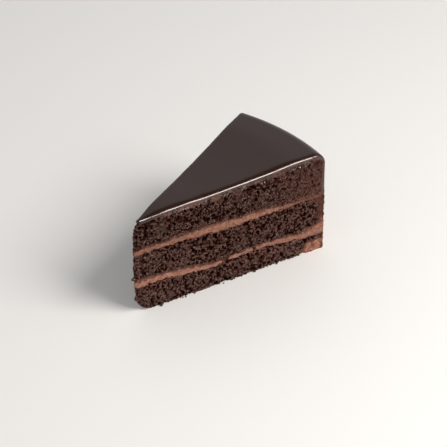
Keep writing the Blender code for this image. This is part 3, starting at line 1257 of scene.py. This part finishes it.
def sponge_finish():
    finish = Finish("chocolate_sponge", IOR=1.45, Specular_IOR_Level=0.05, Coat_Roughness=0.42)
    pit, smear, rim, wet = (finish.noted(name) for name in ("pit", "smear", "rim", "wet"))
    sheen_flecks = finish.clouds(0.6 * MM, 2)
    walls = sponge_walls(finish, sheen_flecks)
    # Painted shade: the pores are painted nearly black, by how deep they are.
    body = finish.mix(pit.between(0.13, 0.78), walls, colour(0.013, 0.0014, 0.0003))
    body = smeared_over(finish, body, smear, rim)
    shine = wet.between(0.1, 0.8) * (1 - pit.between(0.2, 0.7))
    # Painted glints: in the wet groups the colour is lightened in small spots.
    glint = shine * sheen_flecks.between(0.42, 0.58) * 0.75
    moist_face = 0.35 * (1 - pit.between(-0.1, 0.5))
    finish.set(
        Base_Color=finish.mix(glint, body, colour(0.300, 0.235, 0.215)),
        Roughness=0.75 + pit.between(0.2, 0.8) * 0.2,
        Coat_Weight=moist_face + 0.2 * smear.between(0.5, 1.0) + 0.6 * shine,
        Normal=finish.bump(finish.clouds(0.35 * MM, 3), 0.25 * MM, 0.8),
    )
    print("the sponge finish has", len(finish.nodes), "nodes")
    return finish.material


SPONGE = sponge_finish()

# %% [markdown]
# ### Cream
#
# The cream is a light chocolate buttercream: dull, with darker crumb and streaks dragged
# into it by the knife. The fillings show it on the cut. The coat shows it clean on its
# outer face, while on its cut the knife has dragged crumb and glaze over the thin stretch,
# and left the cream bare only at the thick foot and where the lower filling meets it.

# %% Cream finishes
def creamy(finish, tone, shade):
    """Sets a cream's colour, its dullness, which follows a noise, and its fine dents."""
    finish.set(
        Base_Color=tone,
        Roughness=0.5 + 0.15 * shade,
        Normal=finish.bump(finish.clouds(0.6 * MM, 3), 0.2 * MM, 0.6),
    )
    print("the finish", finish.material.name, "has", len(finish.nodes), "nodes")
    return finish.material


def filling_finish():
    finish = Finish("filling_cream", IOR=1.45, Specular_IOR_Level=0.15)
    drag, crumb = finish.clouds(2.2 * MM, 3, (1, 1, 1.8)), finish.clouds(0.8 * MM, 3)
    light, dark = colour(0.345, 0.165, 0.112), colour(0.225, 0.097, 0.064)
    tone = finish.mix(drag.between(0.35, 0.68), light, dark)
    tone = finish.mix(crumb.between(0.56, 0.70) * 0.6, tone, colour(0.10, 0.040, 0.025))
    crumbed = (crumb + finish.noted("crumbed")).between(0.70, 1.40)
    return creamy(finish, finish.mix(crumbed, tone, colour(0.105, 0.040, 0.026)), crumb)


def bare_cream(finish):
    """1 where the cut face of the coat shows cream: at the foot and beside the filling."""
    height = finish.add("SeparateXYZ", {}, {"Vector": finish.place()}, output=2) * (1 / MM)
    uneven = height + 4.0 * (finish.clouds(4 * MM, 3, (1, 1, 2)) - 0.5)
    foot = 1 - uneven.between(6.5, 8.5)
    beside_filling = uneven.between(12.0, 13.5) * (1 - uneven.between(19.0, 21.5))
    return foot.at_least(beside_filling)


def coat_on_cut(finish, drag):
    """The colour of the coat's cut face."""
    light, dark = colour(0.355, 0.165, 0.112), colour(0.19, 0.074, 0.045)
    cream = finish.mix(drag.between(0.35, 0.68), light, dark)
    stain = finish.clouds(3.2 * MM, 3).between(0.47, 0.60) * 0.85
    cream = finish.mix(stain, cream, colour(0.100, 0.030, 0.016))
    return finish.mix(bare_cream(finish), finish.mix(drag.between(0.3, 0.7), *RIM_SMEAR), cream)


def coat_outside(finish):
    """The colour of the coat's outer face, in level sweeps, with a few crumbs in it."""
    sweep = finish.clouds(9 * MM, 3, (0.5, 0.5, 2.5)).between(0.35, 0.70)
    spread = finish.mix(sweep, colour(0.320, 0.146, 0.100), colour(0.270, 0.119, 0.080))
    crumbs_in_it = finish.clouds(1.1 * MM, 2).between(0.68, 0.76) * 0.8
    return finish.mix(crumbs_in_it, spread, colour(0.080, 0.029, 0.018))


def coat_finish():
    finish = Finish("side_cream", IOR=1.45, Specular_IOR_Level=0.12)
    drag = finish.clouds(1.6 * MM, 3, (1, 1, 1.8))
    outer = finish.noted("outer")
    tone = finish.mix(outer, coat_on_cut(finish, drag), coat_outside(finish))
    return creamy(finish, tone, drag)


FILLING, COAT = filling_finish(), coat_finish()

# %% [markdown]
# ### Glaze
#
# The glaze is almost black by itself. What is seen of it is mostly the reflection of the
# room, so its smoothness matters more than its colour. Where crumb lies on it, it is
# browner and duller.

# %% Glaze finish
def glaze_finish():
    finish = Finish("glaze", IOR=1.45)
    smeared = finish.noted("smeared")
    slow, fine = finish.clouds(25 * MM, 2), finish.clouds(0.8 * MM, 2)
    tone = finish.mix(slow, colour(0.021, 0.0075, 0.0048), colour(0.026, 0.0095, 0.0065))
    finish.set(
        Base_Color=finish.mix(smeared * (0.5 + fine), tone, colour(0.074, 0.036, 0.029)),
        Roughness=0.16 + 0.06 * slow + 0.35 * smeared,
        Normal=finish.bump(fine, 0.002 * MM, 0.1),
    )
    print("the glaze finish has", len(finish.nodes), "nodes")
    return finish.material


GLAZE = glaze_finish()

# %% [markdown]
# ## Dressing the pieces
#
# Each piece now gets its finish, and says which body it rides on and which solid it stands
# for. The relief may have pushed a few points of the lowest layer under the floor, so they
# are put back on it first. Shading is smooth everywhere, since the relief has real depth,
# but the glaze keeps its few true edges.

# %% Dress the pieces
def dress(piece, material, slot, *nodes):
    """Rests a piece on the floor, and gives it its finish, body and solids."""
    places = points_of(piece)
    places[:, 2] = np.maximum(places[:, 2], 0)
    place_points(piece, places)
    piece.data.materials.clear()
    piece.data.materials.append(material)
    piece.data.shade_smooth()
    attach(piece, "root")
    if nodes:
        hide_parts(*nodes)
    print(piece.name, "wears", material.name)


for node, piece in sponges.items():
    dress(piece, SPONGE, "sponge", node)
for node, piece in fillings.items():
    dress(piece, FILLING, "filling_cream", node)
dress(coat, COAT, "side_cream", "side_cream")
dress(glaze, GLAZE, "glaze", "glaze")
only(glaze)
bpy.ops.object.shade_smooth_by_angle(angle=math.radians(40))
dress(crumbs, SPONGE, "sponge")
dress(specks, GLAZE, "glaze")

# %% [markdown]
# ## Floor and camera
#
# A pale floor fills the view. The camera stands in front of the near cut and looks down on
# it through a long lens from about a metre away, so the slice keeps its upright edges
# nearly parallel. Where it stands is given as a direction, round and up, and a distance
# from the point that it aims at.

# %% Set up floor and camera
VIEW_AZIMUTH, VIEW_ELEVATION = math.radians(44.84), math.radians(36.31)
VIEW_DISTANCE, VIEW_LENS, SENSOR = 1.0935, 161, 36
AIM = Vector((-23.1 * MM, MIDDLE_Y + 88.7 * MM, 0))


def make_floor():
    bpy.ops.mesh.primitive_plane_add(size=6, location=(0, 0, 0))
    floor = bpy.context.object
    floor.name = "floor"
    finish = Finish("floor", Roughness=0.5, Base_Color=colour(0.895, 0.873, 0.845))
    floor.data.materials.append(finish.material)
    floor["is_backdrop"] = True


def direction(azimuth, elevation):
    """The direction from the slice to something at this azimuth and elevation."""
    flat = math.cos(elevation)
    return Vector((math.sin(azimuth) * flat, -math.cos(azimuth) * flat, math.sin(elevation)))


def look(thing, azimuth, elevation, distance, at):
    """Stands a camera or a light in a direction from a point, facing it."""
    thing.location = at + direction(azimuth, elevation) * distance
    thing.rotation_euler = (math.pi / 2 - elevation, 0, azimuth)


make_floor()
bpy.ops.object.camera_add()
camera = bpy.context.object
camera.data.lens, camera.data.sensor_width = VIEW_LENS, SENSOR
look(camera, VIEW_AZIMUTH, VIEW_ELEVATION, VIEW_DISTANCE, AIM)
bpy.context.scene.camera = camera
print("the camera stands at", [round(side, 3) for side in camera.location])

# %% [markdown]
# ## Light
#
# A large soft light stands to the right of the camera and above, as a studio light would,
# and the pale room fills the shadows. Its own reflection would be a broad glare on the
# glaze, so it is hidden from reflections. A smaller light at its place is seen only in
# them: it draws the bright line along the glaze's edge. The room is pale at its walls and
# dark overhead. The flat top of the glaze mirrors the walls, and the upper part of its
# rounded edge mirrors the dark, which sets off the bright line below it.

# %% Light the slice
LIGHT_AIM = Vector((0, 0, 0.03))
WALLS, OVERHEAD = (0.76, (0.62, 0.625, 0.63, 1)), (0.88, (0.055, 0.055, 0.057, 1))


def soft_light(name, azimuth, elevation, distance, size, power, tint):
    bpy.ops.object.light_add(type="AREA")
    light = bpy.context.object
    light.name = name
    light.data.shape, light.data.size, light.data.energy = "SQUARE", size, power
    light.data.color = tint
    look(light, math.radians(azimuth), math.radians(elevation), distance, LIGHT_AIM)
    light.visible_camera = False
    return light


def pale_room():
    """A world whose colour goes from that of its walls to that overhead."""
    world = bpy.data.worlds.new("pale_room")
    bpy.context.scene.world = world
    world.use_nodes = True
    nodes, links = world.node_tree.nodes, world.node_tree.links
    kinds = ("TexCoord", "SeparateXYZ", "ValToRGB")
    place, split, ramp = (nodes.new("ShaderNode" + kind) for kind in kinds)
    links.new(place.outputs["Generated"], split.inputs["Vector"])
    links.new(split.outputs["Z"], ramp.inputs["Fac"])
    links.new(ramp.outputs["Color"], nodes["Background"].inputs["Color"])
    for stop, (position, shade) in zip(ramp.color_ramp.elements, (WALLS, OVERHEAD)):
        stop.position, stop.color = position, shade


key = soft_light("key", 108, 45, 0.95, 0.55, 8.25, (1, 0.985, 0.96))
key.visible_glossy = False
gleam = soft_light("gleam", 108, 43, 0.9, 0.36, 14, (1, 0.87, 0.81))
gleam.visible_diffuse = False
pale_room()
bpy.context.scene.view_settings.view_transform = "Standard"
print("lights:", [(light.name, round(light.data.energy, 2)) for light in (key, gleam)])

# %% [markdown]
# ## Checking the size
#
# The fine pieces may stand a little past the solids, but the slice must not have grown.
# Both boxes are measured and kept, so that they can be compared.

# %% Check the size
low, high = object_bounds()
past = [*(cad_low - low), *(high - cad_high)]
print("past the solids' box in mm:", [round(1000 * side, 2) for side in past])
